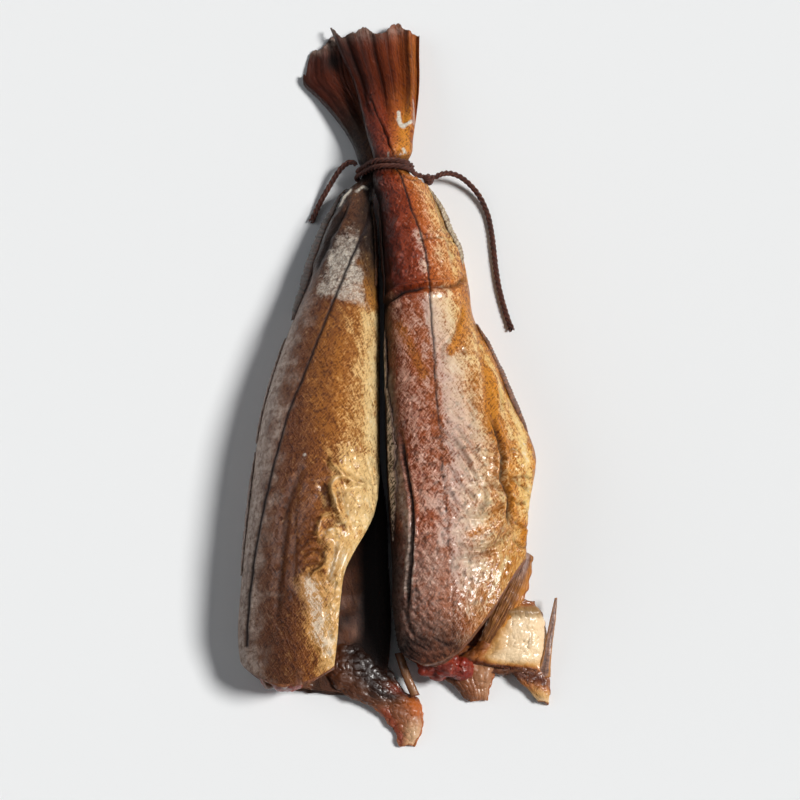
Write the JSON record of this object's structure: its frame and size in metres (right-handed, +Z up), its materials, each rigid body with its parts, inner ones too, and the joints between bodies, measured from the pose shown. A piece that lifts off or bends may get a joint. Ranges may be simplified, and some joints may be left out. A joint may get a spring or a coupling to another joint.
{
  "type": "smoked fish",
  "caption": "Hot-smoked, headless fish tied together by their tails with string, lying side by side with the belly cavities open.",
  "frame": {"origin": "centre of the two fish's footprint, on the surface they lie on", "axes": "+Y towards the tails, +Z up through the fish's shown left flanks, +X towards the bellies"},
  "size_m": [0.1411, 0.3412, 0.0398],
  "materials": {
    "smoked_skin": "glossy wrinkled golden-brown smoked fish skin",
    "smoked_skin_dull": "satin golden-brown smoked fish skin with a bleached patch",
    "smoked_flesh": "moist red-brown smoked flesh and cavity lining",
    "fin": "dried, ribbed dark brown fin",
    "twine": "dark brown twisted string"
  },
  "bodies": {
    "root": {"fish_right": "smoked_skin", "fish_left": "smoked_skin_dull", "string_wrap": "twine", "string_knot": "twine", "string_end_right": "twine", "string_end_left": "twine"}
  },
  "joints": []
}
